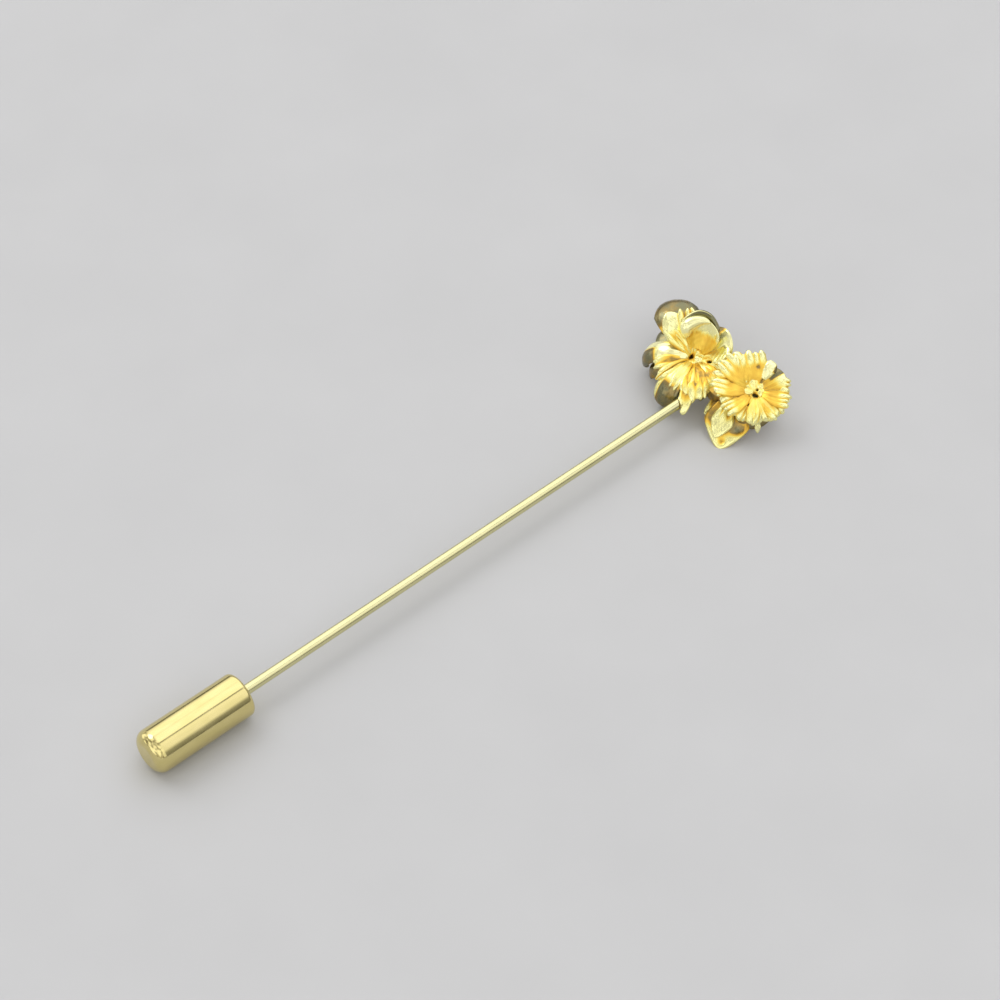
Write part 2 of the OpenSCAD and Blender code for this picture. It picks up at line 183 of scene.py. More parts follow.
# Hearts of the blooms: size, height, lumps, pits and seed. A lump or a pit is right and up in
# the photo's view, then its size and its height or depth. HEART_TURN is that view's right.
HEART_TURN = -41.1
LEFT_HEART = (
    1.3, 0.45,
    [(0.2, 0.4, 0.3, 0.12), (0.0, -0.7, 0.3, 0.12)],
    [(-0.41, 0.3, 0.45, 0.65)], 1)
RIGHT_HEART = (
    1.45, 0.3,
    [(-1.42, 0.95, 0.17, 0.22), (-0.93, 0.93, 0.17, 0.22), (-1.2, 1.2, 0.17, 0.22),
     (-1.18, 0.66, 0.17, 0.22), (-0.5, 0.3, 0.3, 0.1), (0.6, -0.1, 0.3, 0.1),
     (-0.35, -0.8, 0.3, 0.15)],
    [(-0.02, -0.3, 0.19, 0.5), (0.2, -0.4, 0.12, 0.4), (0.22, 0.2, 0.1, 0.3),
     (-1.18, 0.93, 0.1, 0.22)], 2)
# Folded lips of the left bloom: azimuth of the petal, seed, first row, last column, radius
LIPS = [(22, 28, 15, 12, 0.72), (35, 27, 24, 8, 0.06)]

# ---- fineness of the surfaces ----
# Places across half a petal's face near its edge, and how far in from them the even ones start,
# with the least number of those, and some more for each rib
PETAL_EDGE, PETAL_INNER = [0.98, 0.995, 1], 0.958
LEAST_ACROSS, ACROSS_A_RIB, ACROSS_MORE = 26, 11, 6
# Places along a petal, closer at its tip, and those at which its slope is added up
PETAL_ALONG = np.concatenate([np.linspace(0, 0.94, 30), [0.96, 0.975, 0.987, 0.995, 1.0]])
SLOPE_STEPS = np.arange(-40, 241) / 200.0
HEART_TOP_ROWS, HEART_LOW_ROWS, HEART_ROUND = 44, 6, 110
LIP_ALONG, LIP_ROUND, LIP_SMOOTHING = 48, 28, 6
BACK_ROUND, BACK_WALL_ROWS, BACK_OUT_ROWS = 120, 8, 10
# How far out and in how many steps the back's edge is looked for, its least thickness, and a
# height that lies below all rooms
BACK_SEARCH, BACK_SEARCH_STEPS, BACK_THINNEST, BELOW_ALL = 9, 500, 0.02, -9.0

# ---- painted light: 0 is a plain bright face, below it a painted highlight as on a crest, above it painted shade as in a groove or a dark hollow ----
# Its whole range, and the most painted shade that ribs and looks give before the pits
PAINTED_SHADE_RANGE, PAINTED_SHADE_BEFORE_PITS = (-0.5, 1.5), 0.9
# painted highlight all over the folded lips, and painted shade all over the casting's back
LIP_SHADE, BACK_SHADE = -0.35, 0.95

# ---- camera, floor and light, with the clipping and the floor's half side in metres ----
CAMERA_TARGET, CAMERA_AWAY = (7.595, 2.8245, 0), 280
CAMERA_TURN, CAMERA_RISE = -40.674, 50
CAMERA_SENSOR, CAMERA_LENS = 36.0, 105.34
CAMERA_CLIP = (0.01, 10)
SUN_TOWARDS, SUN_POWER, SUN_WIDTH = (-0.1, 0.62, 0.78), 0.5, 30
SKY_STRENGTH = 1.55
# Brightness of the panels at each angle round the wire and at each X part of a direction, and
# how much brighter their blue is
PANELS_ROUND = [
    (-180, 0.10), (-92, 0.10), (-70, 0.25), (-57, 0.75), (-20, 0.85), (-17, 0.25), (-14, 0.25),
    (-11, 1.0), (22, 1.0), (26, 0.84), (30, 1.0), (60, 1.0), (74, 0.7), (80, 0.14), (180, 0.10)]
PANELS_ALONG = [(0.0, 1.0), (0.8, 1.0), (0.95, 0.4), (1, 0.3)]
PANELS_BLUE = 1.01
ROOM_STOPS = [(0.36, (0.22, 0.21, 0.19)), (0.46, (0.45, 0.44, 0.42)),
              (0.54, (0.80, 0.80, 0.80)), (0.66, (0.95, 0.95, 0.95))]
# Scale and detail of the room's mottle, and the X parts between which the panels take over
ROOM_SCALE, ROOM_DETAIL, ROOM_SIDE = 2.6, 1.0, (-0.1, 0.3)
FLOOR_HALF, FLOOR_ROUGH = 0.6, 0.65
FLOOR_STOPS = [(0.3, (0.50, 0.50, 0.505)), (0.7, (0.52, 0.52, 0.525))]
NOISE_ROUGH = 0.55


def place_camera():
    """Camera at the photograph's angle: back along its azimuth and elevation from the target."""
    turn, rise = math.radians(CAMERA_TURN), math.radians(CAMERA_RISE)
    back = Vector((math.sin(turn) * math.cos(rise), -math.cos(turn) * math.cos(rise),
                   math.sin(rise)))
    cam = bpy.data.objects.new("camera", bpy.data.cameras.new("camera"))
    bpy.context.scene.collection.objects.link(cam)
    cam.location = Vector(CAMERA_TARGET) * MM + back * (CAMERA_AWAY * MM)
    cam.rotation_mode = "QUATERNION"
    cam.rotation_quaternion = (-back).to_track_quat("-Z", "Y")
    cam.data.sensor_width, cam.data.lens = CAMERA_SENSOR, CAMERA_LENS
    cam.data.clip_start, cam.data.clip_end = CAMERA_CLIP
    bpy.context.scene.camera = cam


def light_studio():
    """Soft light from wide panels over a dim room. The world's brightness is a ramp over the
    angle of a direction round the wire's axis, 0 straight up and positive towards +Y, times a
    ramp over its X part. Directions to the -X side see only a softly mottled room. One soft
    sun on the +Y side gives the shadows their direction."""
    world = bpy.data.worlds.new("studio")
    bpy.context.scene.world = world
    world.use_nodes = True
    nt = world.node_tree
    sky, out = nt.nodes["Background"], nt.nodes["World Output"]
    coord = nt.nodes.new("ShaderNodeTexCoord")
    parts = nt.nodes.new("ShaderNodeSeparateXYZ")
    nt.links.new(coord.outputs["Generated"], parts.inputs[0])
    angle = calc(nt, "ARCTAN2", parts.outputs["Y"], parts.outputs["Z"])
    round_wire = ramp(nt, between(nt, angle, -math.pi, math.pi, 0, 1), [
        ((a + 180) / 360, (v, v, v * PANELS_BLUE)) for a, v in PANELS_ROUND])
    along_wire = ramp(nt, between(nt, parts.outputs["X"], -1, 1, 0, 1), greys(
        ((x + 1) / 2, v) for x, v in PANELS_ALONG))
    panels = mixed(nt, "MULTIPLY", 1.0, round_wire, along_wire)
    mottle = nt.nodes.new("ShaderNodeTexNoise")
    mottle.inputs["Scale"].default_value = ROOM_SCALE
    mottle.inputs["Detail"].default_value = ROOM_DETAIL
    nt.links.new(coord.outputs["Generated"], mottle.inputs["Vector"])
    room = ramp(nt, mottle.outputs["Fac"], ROOM_STOPS)
    side = between(nt, parts.outputs["X"], *ROOM_SIDE, 0, 1)
    nt.links.new(mixed(nt, "MIX", side, room, panels), sky.inputs["Color"])
    nt.links.new(sky.outputs[0], out.inputs["Surface"])
    sky.inputs["Strength"].default_value = SKY_STRENGTH
    sun = bpy.data.objects.new("soft_sun", bpy.data.lights.new("soft_sun", "SUN"))
    bpy.context.scene.collection.objects.link(sun)
    sun.data.energy, sun.data.angle = SUN_POWER, math.radians(SUN_WIDTH)
    sun.rotation_euler = Vector(SUN_TOWARDS).to_track_quat("Z", "Y").to_euler()


def lay_floor():
    """Plain pale floor: one square at the surface's height."""
    h = FLOOR_HALF
    mesh = bpy.data.meshes.new("floor")
    mesh.from_pydata([(-h, -h, 0), (h, -h, 0), (h, h, 0), (-h, h, 0)], [], [(0, 1, 2, 3)])
    floor = bpy.data.objects.new("floor", mesh)
    bpy.context.scene.collection.objects.link(floor)
    mat, nt, shader = new_material("pale_floor")
    shader.inputs["Roughness"].default_value = FLOOR_ROUGH
    nt.links.new(ramp(nt, noise(nt, 60, 3), FLOOR_STOPS), shader.inputs["Base Color"])
    mesh.materials.append(mat)


# ---- material helpers ----
def new_material(name):
    mat = bpy.data.materials.new(name)
    mat.use_nodes = True
    return mat, mat.node_tree, mat.node_tree.nodes["Principled BSDF"]


def noise(nt, scale, detail, stretch=(1, 1, 1)):
    """Noise over the piece's own coordinates, in cycles a metre, stretched along an axis."""
    coord = nt.nodes.new("ShaderNodeTexCoord")
    fit = nt.nodes.new("ShaderNodeMapping")
    fit.inputs["Scale"].default_value = stretch
    tex = nt.nodes.new("ShaderNodeTexNoise")
    tex.inputs["Scale"].default_value = scale
    tex.inputs["Detail"].default_value = detail
    tex.inputs["Roughness"].default_value = NOISE_ROUGH
    nt.links.new(coord.outputs["Object"], fit.inputs["Vector"])
    nt.links.new(fit.outputs["Vector"], tex.inputs["Vector"])
    return tex.outputs["Fac"]


def ramp(nt, value, stops):
    """Colour ramp over a value from 0 to 1."""
    node = nt.nodes.new("ShaderNodeValToRGB")
    marks = node.color_ramp.elements
    while len(marks) < len(stops):
        marks.new(0.5)
    for k, (at, colour) in enumerate(stops):
        marks[k].position, marks[k].color = at, (*colour, 1)
    nt.links.new(value, node.inputs["Fac"])
    return node.outputs["Color"]


def greys(stops):
    """Stops of grey for a ramp, each from a place and a brightness."""
    return [(at, (v, v, v)) for at, v in stops]


def between(nt, value, low, high, to_low, to_high):
    """The value's place from low to high, moved to the range to_low to to_high and held in it."""
    node = nt.nodes.new("ShaderNodeMapRange")
    ends = {"From Min": low, "From Max": high, "To Min": to_low, "To Max": to_high}
    for name, v in ends.items():
        node.inputs[name].default_value = v
    nt.links.new(value, node.inputs["Value"])
    return node.outputs["Result"]


def fill(nt, socket, v):
    """Sets a socket to a number, or links it to another socket."""
    if isinstance(v, (int, float)):
        socket.default_value = v
    else:
        nt.links.new(v, socket)


def calc(nt, how, a, b):
    node = nt.nodes.new("ShaderNodeMath")
    node.operation = how
    fill(nt, node.inputs[0], a)
    fill(nt, node.inputs[1], b)
    return node.outputs[0]


def mixed(nt, how, share, a, b):
    node = nt.nodes.new("ShaderNodeMix")
    node.data_type, node.blend_type = "RGBA", how
    for socket, v in zip([s for s in node.inputs if s.enabled], (share, a, b)):
        fill(nt, socket, v)
    return next(s for s in node.outputs if s.enabled)


def bumps(nt, shader, height, depth, strength):
    node = nt.nodes.new("ShaderNodeBump")
    node.inputs["Distance"].default_value = depth
    node.inputs["Strength"].default_value = strength
    nt.links.new(height, node.inputs["Height"])
    nt.links.new(node.outputs["Normal"], shader.inputs["Normal"])


# ---- finishes ----
# The flower head's colour, how metallic it is and how rough, each over its painted shade:
# pale for a painted highlight, orange to olive brown for painted shade
GOLD_AND_PAINTED_SHADE_STOPS = [
    (0.0, (1.0, 0.97, 0.53)), (0.25, (0.97, 0.93, 0.43)), (0.40, (0.96, 0.86, 0.27)),
    (0.55, (0.98, 0.68, 0.09)), (0.67, (0.85, 0.50, 0.06)), (0.76, (0.36, 0.24, 0.07)),
    (1.0, (0.21, 0.20, 0.11))]
METAL_STOPS = [(0.0, 0.5), (0.25, 0.85), (0.475, 0.6), (0.59, 0.6), (0.775, 0.95)]
WORN_STOPS = [(0.0, 0.18), (0.3, 0.36), (0.5, 0.36), (1.0, 0.22)]
# A face counts as closed in by what lies within CLOSED_REACH, from the first share of open
# sky to the second, and gets up to CLOSED_SHADE of painted shade for it
CLOSED_REACH, CLOSED_SKY, CLOSED_SHADE, CLOSED_SAMPLES = 0.8 * MM, (0.8, 0.1), 0.8, 6
# The part of a patchy noise's range that is used, and how far it moves the painted shade when
# bright and when dark
PATCH_RANGE, TARNISH = (0.3, 0.7), (0.07, 0.34)
WIRE_STOPS = [(0.3, (0.70, 0.66, 0.35)), (0.7, (0.76, 0.71, 0.39))]
CLUTCH_STOPS = [(0.35, (0.70, 0.60, 0.25)), (0.65, (0.76, 0.65, 0.29))]


def flower_gold():
    """Bright cast gold tone with painted light: a pale painted highlight on the crests, painted
    shade orange to brown in the grooves and at the petals' roots, with a fine cast skin and
    slightly uneven polish. The painted shade is the mesh's own plus painted shade from ambient
    occlusion in the closed-in places, and a patchy noise moves it up and down for the colour."""
    mat, nt, shader = new_material("flower_gold")
    # painted shade from ambient occlusion: darker where other faces close in
    occlusion_node = nt.nodes.new("ShaderNodeAmbientOcclusion")
    occlusion_node.samples = CLOSED_SAMPLES
    occlusion_node.inputs["Distance"].default_value = CLOSED_REACH
    occlusion_shade = between(nt, occlusion_node.outputs["AO"], CLOSED_SKY[1], CLOSED_SKY[0], CLOSED_SHADE, 0.0)
    painted_shade_attribute = nt.nodes.new("ShaderNodeAttribute")
    painted_shade_attribute.attribute_name = "painted_shade"
    painted_shade = calc(nt, "ADD", occlusion_shade, painted_shade_attribute.outputs["Fac"])
    plated = ramp(nt, between(nt, painted_shade, *PAINTED_SHADE_RANGE, 0, 1), greys(METAL_STOPS))
    nt.links.new(plated, shader.inputs["Metallic"])
    patch = noise(nt, 900, 4)
    tarnish = calc(nt, "MULTIPLY", between(nt, patch, *PATCH_RANGE, -1, 1),
                   between(nt, painted_shade, 0.5, PAINTED_SHADE_RANGE[1], *TARNISH))
    toned = calc(nt, "ADD", painted_shade, tarnish)
    nt.links.new(ramp(nt, between(nt, toned, *PAINTED_SHADE_RANGE, 0, 1), GOLD_AND_PAINTED_SHADE_STOPS),
                 shader.inputs["Base Color"])
    worn = ramp(nt, between(nt, painted_shade, 0, PAINTED_SHADE_RANGE[1], 0, 1), greys(WORN_STOPS))
    nt.links.new(calc(nt, "MULTIPLY", worn, between(nt, patch, *PATCH_RANGE, 0.8, 1.25)),
                 shader.inputs["Roughness"])
    skin = calc(nt, "MULTIPLY", noise(nt, 9000, 3), 0.25)
    bumps(nt, shader, calc(nt, "ADD", noise(nt, 3000, 2), skin), 0.00006, 0.16)
    return mat


def wire_gold():
    """Pale polished gold tone drawn through a die: fine lines along X and a slight olive cast."""
    mat, nt, shader = new_material("wire_gold")
    shader.inputs["Metallic"].default_value = 1.0
    lines = noise(nt, 9000, 3, (0.012, 1, 1))
    patch = noise(nt, 350, 3)
    nt.links.new(ramp(nt, patch, WIRE_STOPS), shader.inputs["Base Color"])
    rough = between(nt, calc(nt, "ADD", lines, patch), 0.6, 1.4, 0.14, 0.30)
    nt.links.new(rough, shader.inputs["Roughness"])
    bumps(nt, shader, lines, 0.00001, 0.35)
    return mat


def clutch_gold():
    """Mirror-polished pale gold tone with faint turning lines and small handling marks."""
    mat, nt, shader = new_material("clutch_gold")
    shader.inputs["Metallic"].default_value = 1.0
    turning = noise(nt, 7000, 2, (1, 0.04, 0.04))
    marks = noise(nt, 1600, 4, (0.3, 1, 1))
    nt.links.new(ramp(nt, marks, CLUTCH_STOPS), shader.inputs["Base Color"])
    rough = between(nt, marks, 0.35, 0.7, 0.06, 0.17)
    nt.links.new(rough, shader.inputs["Roughness"])
    bumps(nt, shader, calc(nt, "ADD", turning, marks), 0.000006, 0.3)
    return mat


# ---- surfaces: each gives its points, its four-sided faces and the painted shade of each point ----
def wave(x, y, seed):
    """Smooth uneven wave in two variables: the mean of four sines of 5 a x + 4 b y + p, with a
    and b drawn between -1 and 1 and the phase p from a full turn."""
    rng = np.random.default_rng(seed)
    a, p = rng.uniform(-1, 1, (4, 2)), rng.uniform(0, 6.28, 4)
    return sum(np.sin(5 * a[k, 0] * x + 4 * a[k, 1] * y + p[k]) for k in range(4)) / 4


def total_up(rate, s):
    """Integral of rate from 0 to s: a running sum by the midpoint rule, read by straight lines."""
    middles = (SLOPE_STEPS[1:] + SLOPE_STEPS[:-1]) / 2
    run = np.concatenate([[0], np.cumsum(rate(middles)) * (SLOPE_STEPS[1] - SLOPE_STEPS[0])])
    return np.interp(s, SLOPE_STEPS, run) - np.interp(0, SLOPE_STEPS, run)


def grow(v, low, high):
    """0 before low, 1 past high, and smooth between."""
    k = np.clip((v - low) / (high - low), 0, 1)
    return k * k * (3 - 2 * k)


def bell(far, wide):
    """exp(-far / wide^2), where far is a distance squared."""
    return np.exp(-far / wide ** 2)


def quads(ids, wrap=True):
    """Four-sided faces between neighbouring rows and columns of an index grid."""
    nxt = np.roll(ids, -1, axis=1) if wrap else ids[:, 1:]
    cur = ids if wrap else ids[:, :-1]
    return np.stack([cur[:-1], cur[1:], nxt[1:], nxt[:-1]], -1).reshape(-1, 4)


def turned(x, y, z, degrees):
    """Points with these coordinates, turned about Z by so many degrees."""
    c, s = math.cos(math.radians(degrees)), math.sin(math.radians(degrees))
    return np.stack([x * c - y * s, x * s + y * c, z], -1)


def petal(row, seed, ease=0.0, lumps=0.025, rim=0.0, pits=(), **looks):
    """One petal as a closed loop carried along its length. S0 and T are the places along and
    across it, 0 to 1 and -1 to 1.
    Outline: s is S0 times what is left after round |T|^point, notch (1 - folds^0.7) and, on
    ribbed petals, ragged tips 0.04 (1 + sin(2 seed + 7 T)). The half width is that of the row
    times 0.35 + 0.65 sin(90 min(1, s / 0.65)), narrowed by taper s^2.
    Centre line: its slope is rise + curl s + hook max(0, (s - 0.55) / 0.45)^2, and reach and
    height are the integrals of its cosine and sine. Across, the section is an arc whose slope
    is half the cup's angle times T.
    The surface stands off that by half the thickness, which thins to the tip and closes at
    the edges as sqrt(1 - x^10), plus ribs rib_h folds^0.8, plus two waves for crumple and
    lumps, plus a rim raised near the edge, minus a bell for each pit. folds is
    |sin(90 ribs (T + 1))|, with T unevenly spread by 0.08 sin(seed + 5 T) (1 - T^2). Ribs rise
    only past ease, or only before minus ease when it is negative."""
    p = dict(zip(COLUMNS, row))
    across = int(max(LEAST_ACROSS, ACROSS_A_RIB * p["ribs"] + ACROSS_MORE))
    u = np.concatenate([[-v for v in PETAL_EDGE[::-1]],
                        np.linspace(-PETAL_INNER, PETAL_INNER, across), PETAL_EDGE])
    t = np.concatenate([u, u[-2:0:-1]])
    face = np.where(np.arange(len(t)) < len(u), 1.0, -1.0)
    S0, T = np.meshgrid(PETAL_ALONG, t, indexing="ij")
    edge = np.sqrt(np.clip(1 - S0 ** 10, 0, 1)) * (S0 > 0)
    side = np.sqrt(np.clip(1 - np.abs(T) ** 10, 0, 1)) * face

    uneven = T + 0.08 * np.sin(seed + 5 * T) * (1 - T * T)
    folds = (np.abs(np.sin(np.radians(90 * p["ribs"] * (uneven + 1)))) if p["ribs"]
             else np.ones_like(T))
    ragged = 0.04 * (1 + np.sin(2 * seed + 7 * T)) * (p["ribs"] > 1 and ease >= 0)
    s = S0 * (1 - p["round"] * np.abs(T) ** p["point"] - p["notch"] * (1 - folds ** 0.7)
              - ragged)

    def slope(v):
        hook = p["hook"] * np.maximum(0, (v - 0.55) / 0.45) ** 2
        return np.radians(p["rise"] + p["curl"] * v + hook)

    reach = p["root"] + p["length"] * total_up(lambda v: np.cos(slope(v)), s)
    height = p["lift"] + p["length"] * total_up(lambda v: np.sin(slope(v)), s)
    half = p["width"] / 2 * (0.35 + 0.65 * np.sin(np.radians(90 * np.minimum(1, s / 0.65))))
    half = half * (1 - p["taper"] * s * s)
    bend = np.radians(p["cup"] / 2) or 1e-6
    lean = bend * T
    y, n = half * np.sin(lean) / bend, half * (1 - np.cos(lean)) / bend

    rise = np.minimum(1, 4 * s)
    if ease > 0:
        rise = rise * (0.1 + 0.9 * grow(s, ease, ease + 0.28))
    elif ease < 0:
        rise = rise * (1 - grow(s, -ease, 0.28 - ease))
    ridge = p["rib_h"] * folds ** 0.8 * rise * np.clip(side, 0, 1) * edge
    crumple = (0.05 * s * wave(3 * s, 2 * T, seed)
               + lumps * wave(9 * s, 6 * T, seed + 1) * edge * (side > 0))
    brim = rim * grow(np.maximum(np.abs(T), S0), 0.72, 0.95) * np.clip(side, 0, 1) * edge
    off = side * edge * p["thick"] * (1 - 0.35 * s) / 2 + ridge + crumple + brim
    pit_shade = 0 * s
    # each pit is a dent with painted shade in it, three times its depth
    for at_s, at_t, size, depth in pits:
        far = ((s - at_s) * p["length"]) ** 2 + ((T - at_t) * half) ** 2
        hole = bell(far, size) * (face > 0)
        off, pit_shade = off - depth * hole, pit_shade + 3 * depth * hole

    y, n = y - np.sin(lean) * off, n + np.cos(lean) * off
    tilt = slope(s)
    pts = turned(reach - np.sin(tilt) * n, y, height + np.cos(tilt) * n, p["azimuth"])
    # painted shade in the grooves between the ribs, more where the ribs are taller
    groove_shade = (1 - folds) ** 1.5 * rise * min(1.0, 5 * p["rib_h"])
    painted_shade = petal_shade(seed, S0, s, T, face, groove_shade, pit_shade, **looks)
    # the two ends of the loop close flat, each back point joined to the face point over it
    ids = np.arange(S0.size).reshape(S0.shape)
    mirror = (2 * (len(u) - 1) - np.arange(len(t))) % len(t)
    flat = np.minimum(np.arange(len(t)), mirror)
    ids[0], ids[-1] = ids[0][flat], ids[-1][flat]
    return pts.reshape(-1, 3), quads(ids), painted_shade.reshape(-1)


def petal_shade(seed, S0, s, T, face, groove_shade, pit_shade, root_shade=0.3, inner=0.0, middle_shade=0.0,
                bright=0.0, dark=None, dusk=None):
    """Painted shade of a petal: that of the grooves between its ribs, plus painted shade at the
    root, plus painted shade in the middle away from its edges, plus painted shade with fine
    streaks on the face's lower part, kept from 0 to 0.9, less a painted highlight, plus the
    painted shade of the pits. Then painted shade and dark reflection move it by their share
    towards the darkest, one along the petal and one across it."""
    streaks = 1 + 0.35 * np.sin(19 * T + 3 * seed) * np.sin(31 * T + seed)
    middle = 1 - grow(np.maximum(np.abs(T), S0 - 0.1), 0.5, 0.8)
    # painted shade in the grooves, at the root, in the middle and on the face's lower part
    painted_shade = (groove_shade + root_shade * (1 - grow(s, 0.1, 0.9)) + middle_shade * middle * grow(s, 0.3, 0.5)
              + inner * streaks * (1 - grow(s, 0.45, 0.75)) * (face > 0))
    # less a painted highlight, plus the painted shade of the pits
    painted_shade = np.clip(np.clip(painted_shade, 0, PAINTED_SHADE_BEFORE_PITS) - bright + pit_shade, *PAINTED_SHADE_RANGE)
    # painted shade and dark reflection along the petal
    if dark:
        start, end, share = dark
        painted_shade = painted_shade + (PAINTED_SHADE_RANGE[1] - painted_shade) * share * grow(s, start, end)
    # painted shade and dark reflection across the petal
    if dusk:
        start, end, share = dusk
        painted_shade = painted_shade + (PAINTED_SHADE_RANGE[1] - painted_shade) * share * grow(T, start, end) * grow(s, 0.4, 0.52)
    return painted_shade


def heart(size, height, lumps, pits, seed):
    """The heart of a bloom on a grid of radius and turn. Its edge is size times 1 + 0.10
    sin(3 turn + seed) + 0.08 sin(7 turn). Its top is a flat dome height (1 - out^6) for the
    share out of the radius, tilted by 0.25 y, with a faint wave and eleven flutes near the
    edge, plus a bell for each lump and minus one for each pit. A cone closes it below."""
    rows = HEART_TOP_ROWS + HEART_LOW_ROWS
    out = np.concatenate([np.linspace(0, 1, HEART_TOP_ROWS),
                          np.linspace(1, 0, HEART_LOW_ROWS)])[:, None]
    turn = np.linspace(0, 2 * np.pi, HEART_ROUND, endpoint=False)[None, :]
    r = size * out * (1 + 0.10 * np.sin(3 * turn + seed) + 0.08 * np.sin(7 * turn))
    x, y = r * np.cos(turn) - 0.15 * size, r * np.sin(turn)
    dome = (height * (1 - out ** 6) + 0.25 * y + 0.06 * wave(1.5 * x, 1.5 * y, seed)
            + 0.05 * out ** 2 * np.sin(11 * turn))
    # painted shade: a random tone, darker in the valleys of the flutes and in the pits, lighter on
    # the lumps
    shade = 0.4 + 0.3 * wave(3 * x, 3 * y, seed + 1) - 0.3 * out * np.sin(11 * turn)
    for lx, ly, wide, tall in lumps:
        mound = bell((x - lx) ** 2 + (y - ly) ** 2, wide)
        dome, shade = dome + tall * mound, shade - 0.2 * mound
    for lx, ly, wide, deep in pits:
        hole = bell((x - lx) ** 2 + (y - ly) ** 2, wide)
        dome, shade = dome - deep * hole, shade + 0.5 * hole
    top = np.arange(rows)[:, None] < HEART_TOP_ROWS
    cone = 0.7 * out - 1.05
    pts = turned(x, y, np.where(top, dome, cone), HEART_TURN)
    ids = np.arange(rows * HEART_ROUND).reshape(rows, HEART_ROUND)
    ids[0], ids[-1] = ids[0, 0], ids[-1, 0]
    return pts.reshape(-1, 3), quads(ids), np.clip(shade, 0, PAINTED_SHADE_RANGE[1]).reshape(-1)


def lip(row, seed, corner, end, radius):
    """A folded lip: a tube along a petal's edge, up its +T side from the row of corner and over
    its tip to the column of end. Its radius is the given one times sin(pi w^0.75)^0.7 over the
    share w of the path, so that both ends close."""
    pts, _, _ = petal(row, seed)
    rows = len(PETAL_ALONG)
    cols = len(pts) // rows
    grid = pts.reshape(rows, cols, 3)
    left, tip = cols // 2 - 2, rows - 3
    way = np.concatenate([grid[corner:tip + 1, left], grid[tip, left - 1:end:-1]])
    for _ in range(LIP_SMOOTHING):
        way[1:-1] = (way[:-2] + 2 * way[1:-1] + way[2:]) / 4
    length = np.concatenate([[0], np.cumsum(np.linalg.norm(np.diff(way, axis=0), axis=1))])
    w = np.linspace(0, 1, LIP_ALONG)
    way = np.stack([np.interp(w * length[-1], length, way[:, k]) for k in range(3)], -1)
    along = np.gradient(way, axis=0)
    along /= np.linalg.norm(along, axis=1)[:, None]
    over = np.cross(along, way.mean(0) - way)
    over /= np.linalg.norm(over, axis=1)[:, None]
    third = np.cross(along, over)
    turn = np.linspace(0, 2 * np.pi, LIP_ROUND, endpoint=False)
    r = radius * np.sin(np.pi * np.clip(w, 1e-4, 1 - 1e-4) ** 0.75) ** 0.7
    ring = (np.cos(turn)[None, :, None] * over[:, None]
            + np.sin(turn)[None, :, None] * third[:, None])
    out = way[:, None] + r[:, None, None] * ring
    ids = np.arange(LIP_ALONG * LIP_ROUND).reshape(LIP_ALONG, LIP_ROUND)
    # painted highlight all along the lip
    shade = np.full(ids.size, LIP_SHADE)
    ids[0], ids[-1] = ids[0, 0], ids[-1, 0]
    return out.reshape(-1, 3), quads(ids)[:, ::-1], shade


def seat_height(x, y):
    """Height of the room over the pad, the lug and the swelling at a place, or below all."""
    hx, hy = x - HEAD_X, y - WIRE_Y
    room = np.full(np.shape(x), BELOW_ALL)
    swell = SWELL_R + SEAT_GAP
    near = (np.abs(hy) < swell) & (hx > -1) & (hx < SWELL_LEN + 1)
    room = np.where(near, AXIS_Z + np.sqrt(np.clip(swell ** 2 - hy ** 2, 0, None)), room)
    lug = ((np.abs(hy) < LUG_W / 2 + SEAT_GAP) & (hx > SWELL_LEN - SEAT_GAP)
           & (hx < LUG_END + SEAT_GAP))
    room = np.where(lug, np.maximum(room, AXIS_Z + WIRE_R + SEAT_GAP), room)
    pad = np.hypot(hx - PAD_AT[0], hy - PAD_AT[1]) < PAD_R + SEAT_GAP
    return np.where(pad, np.maximum(room, PAD_TOP + SEAT_GAP), room)


def hull_planes():
    """The flat faces of the hull of the back's bosses, split into those that look up and those
    that look down: rows of a normal and its distance from the origin."""
    turn = np.linspace(0, 2 * np.pi, BOSS_SIDES, endpoint=False)
    bm = bmesh.new()
    for bx, by, bz, foot, top, tall in BACK_BOSSES:
        for r, z in ((foot, bz), (top, bz + tall)):
            for a in turn:
                bm.verts.new((HEAD_X + bx + r * np.cos(a), WIRE_Y + by + r * np.sin(a), z))
    bmesh.ops.convex_hull(bm, input=bm.verts)
    bm.normal_update()
    planes = np.array([(*f.normal, f.normal.dot(f.verts[0].co)) for f in bm.faces])
    bm.free()
    return planes[planes[:, 2] > 1e-4], planes[planes[:, 2] < -1e-4]


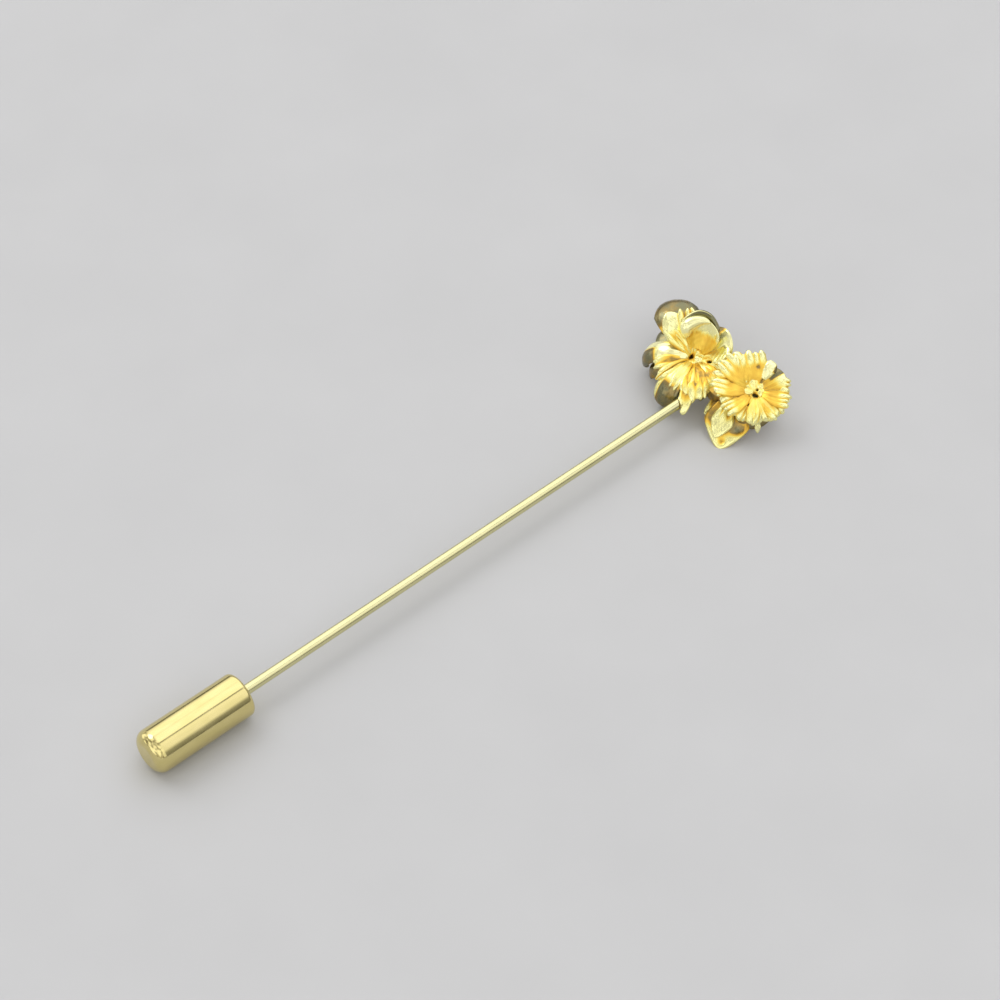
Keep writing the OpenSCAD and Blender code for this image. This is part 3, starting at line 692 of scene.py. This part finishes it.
def cast_back():
    """The thick back under the petals. Round the pad's axis each direction has the hull's
    edge as its radius. Over the radius the surface runs out under the hull, raised to the
    room of the pad and the wire, and comes back over the hull's top."""
    up, down = hull_planes()

    def level(x, y, planes, pick):
        each = ((planes[:, 3] - planes[:, 0] * x[..., None] - planes[:, 1] * y[..., None])
                / planes[:, 2])
        return pick(each, axis=-1)

    around = np.linspace(0, 2 * np.pi, BACK_ROUND, endpoint=False)[:, None]
    cx, cy = HEAD_X + PAD_AT[0], WIRE_Y + PAD_AT[1]
    far = np.linspace(0, BACK_SEARCH, BACK_SEARCH_STEPS)[None, :]
    gx, gy = cx + far * np.cos(around), cy + far * np.sin(around)
    inside = level(gx, gy, up, np.min) > level(gx, gy, down, np.max)
    reach = (far * inside).max(axis=1, keepdims=True)
    # rows out to the seat's wall, then a hair past it and on to the edge
    wall = np.minimum(PAD_R + SEAT_GAP, 0.8 * reach)
    past = wall * 1.002
    r = np.concatenate([wall * np.linspace(0, 1, BACK_WALL_ROWS)[None, :],
                        past + (reach - past) * np.linspace(0, 1, BACK_OUT_ROWS) ** 0.8], 1)
    x, y = cx + r * np.cos(around), cy + r * np.sin(around)
    top, low = level(x, y, up, np.min), level(x, y, down, np.max)
    low = np.minimum(np.maximum(low, seat_height(x, y)), top - BACK_THINNEST)
    pts = np.concatenate([np.stack([x, y, low], -1), np.stack([x, y, top], -1)[:, ::-1]], 1)
    ids = np.arange(pts.shape[0] * pts.shape[1]).reshape(pts.shape[:2])
    ids[:, 0], ids[:, -1] = ids[0, 0], ids[0, -1]
    loop = np.concatenate([ids, ids[:1]])
    # painted shade all over the back
    return pts.reshape(-1, 3), quads(loop, wrap=False), np.full(ids.size, BACK_SHADE)


# ---- pieces ----
def leaned(parts, at, tilt):
    """Leans a group's axis over by tilt[0] towards tilt[1] and moves it to its place."""
    b, d = math.radians(tilt[0]), math.radians(tilt[1])
    spin = np.array([[math.cos(d), -math.sin(d), 0], [math.sin(d), math.cos(d), 0], [0, 0, 1]])
    lean = np.array([[math.cos(b), 0, math.sin(b)], [0, 1, 0], [-math.sin(b), 0, math.cos(b)]])
    m = spin @ lean @ spin.T
    shift = np.array([HEAD_X, WIRE_Y, 0]) + np.array(at)
    return [(pts @ m.T + shift, faces, shade) for pts, faces, shade in parts]


def petals(rows, seed):
    """The petals of a table, each with its own seed, counted on from the first."""
    return [petal(row[:-1], seed + k, **row[-1]) for k, row in enumerate(rows)]


def kept_clear(pts):
    """Points in the room of the wire's swelling are pushed straight out from the wire's axis
    to the room's edge, and points below the floor are raised to it."""
    axis, room = np.array([WIRE_Y, AXIS_Z]), SWELL_R + SEAT_GAP
    off = np.hypot(*(pts[:, 1:] - axis).T)
    push = (off < room) & (off > 0) & (pts[:, 0] < HEAD_X + SWELL_LEN + 1)
    pts[push, 1:] = axis + (pts[push, 1:] - axis) * (room / off[push])[:, None]
    pts[:, 2] = np.maximum(pts[:, 2], 0.0)
    return pts


def make_piece(name, parts, material, body, node):
    """One mesh from several surfaces. Points that no face uses are left out, and a face with
    a doubled corner becomes a triangle."""
    start = np.cumsum([0] + [len(p[0]) for p in parts])
    pts = kept_clear(np.concatenate([p[0] for p in parts]))
    faces = np.concatenate([p[1] + s for p, s in zip(parts, start)])
    shade = np.concatenate([p[2] for p in parts])
    used, faces = np.unique(faces, return_inverse=True)
    pts, faces, shade = pts[used] * MM, faces.reshape(-1, 4), shade[used]
    keep = faces != np.roll(faces, -1, axis=1)
    sizes = keep.sum(1)
    faces, keep, sizes = faces[sizes > 2], keep[sizes > 2], sizes[sizes > 2]
    mesh = bpy.data.meshes.new(name)
    mesh.vertices.add(len(pts))
    mesh.vertices.foreach_set("co", pts.ravel())
    mesh.loops.add(int(sizes.sum()))
    mesh.loops.foreach_set("vertex_index", faces[keep].astype(np.int32))
    mesh.polygons.add(len(sizes))
    mesh.polygons.foreach_set("loop_start", (np.cumsum(sizes) - sizes).astype(np.int32))
    mesh.polygons.foreach_set("use_smooth", np.ones(len(sizes), bool))
    mesh.update(calc_edges=True)
    mesh.validate()
    # the painted shade of each point, kept on the mesh for the flower's gold
    painted_shade = mesh.attributes.new("painted_shade", "FLOAT", "POINT")
    painted_shade.data.foreach_set("value", shade.astype(np.float32))
    mesh.materials.append(material)
    piece = bpy.data.objects.new(name, mesh)
    bpy.context.scene.collection.objects.link(piece)
    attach(piece, body)
    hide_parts(node)


def dress(node, material):
    """Gives a carried node its finish."""
    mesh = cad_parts[node].data
    mesh.materials.clear()
    mesh.materials.append(material)


place_camera()
light_studio()
lay_floor()
bpy.context.scene.view_settings.view_transform = "Standard"

gold = flower_gold()
lipped = {row[0]: row[:-1] for row in LEFT_PETALS}
lips = [lip(lipped[azimuth], *rest) for azimuth, *rest in LIPS]
left = leaned(petals(LEFT_PETALS, LEFT_SEED) + [heart(*LEFT_HEART)] + lips, LEFT_AT, LEFT_TILT)
right = leaned(petals(RIGHT_PETALS, RIGHT_SEED) + [heart(*RIGHT_HEART)], RIGHT_AT, RIGHT_TILT)
leaf = leaned(petals(LEAF_BLADES, LEAF_SEED), LEAF_AT, LEAF_TILT)
for name, parts in (("left_bloom", left), ("right_bloom", right), ("leaf", leaf),
                    ("casting_back", [cast_back()])):
    make_piece(name, parts, gold, "pin", "flower_head")
dress("pin_shaft", wire_gold())
dress("clutch", clutch_gold())
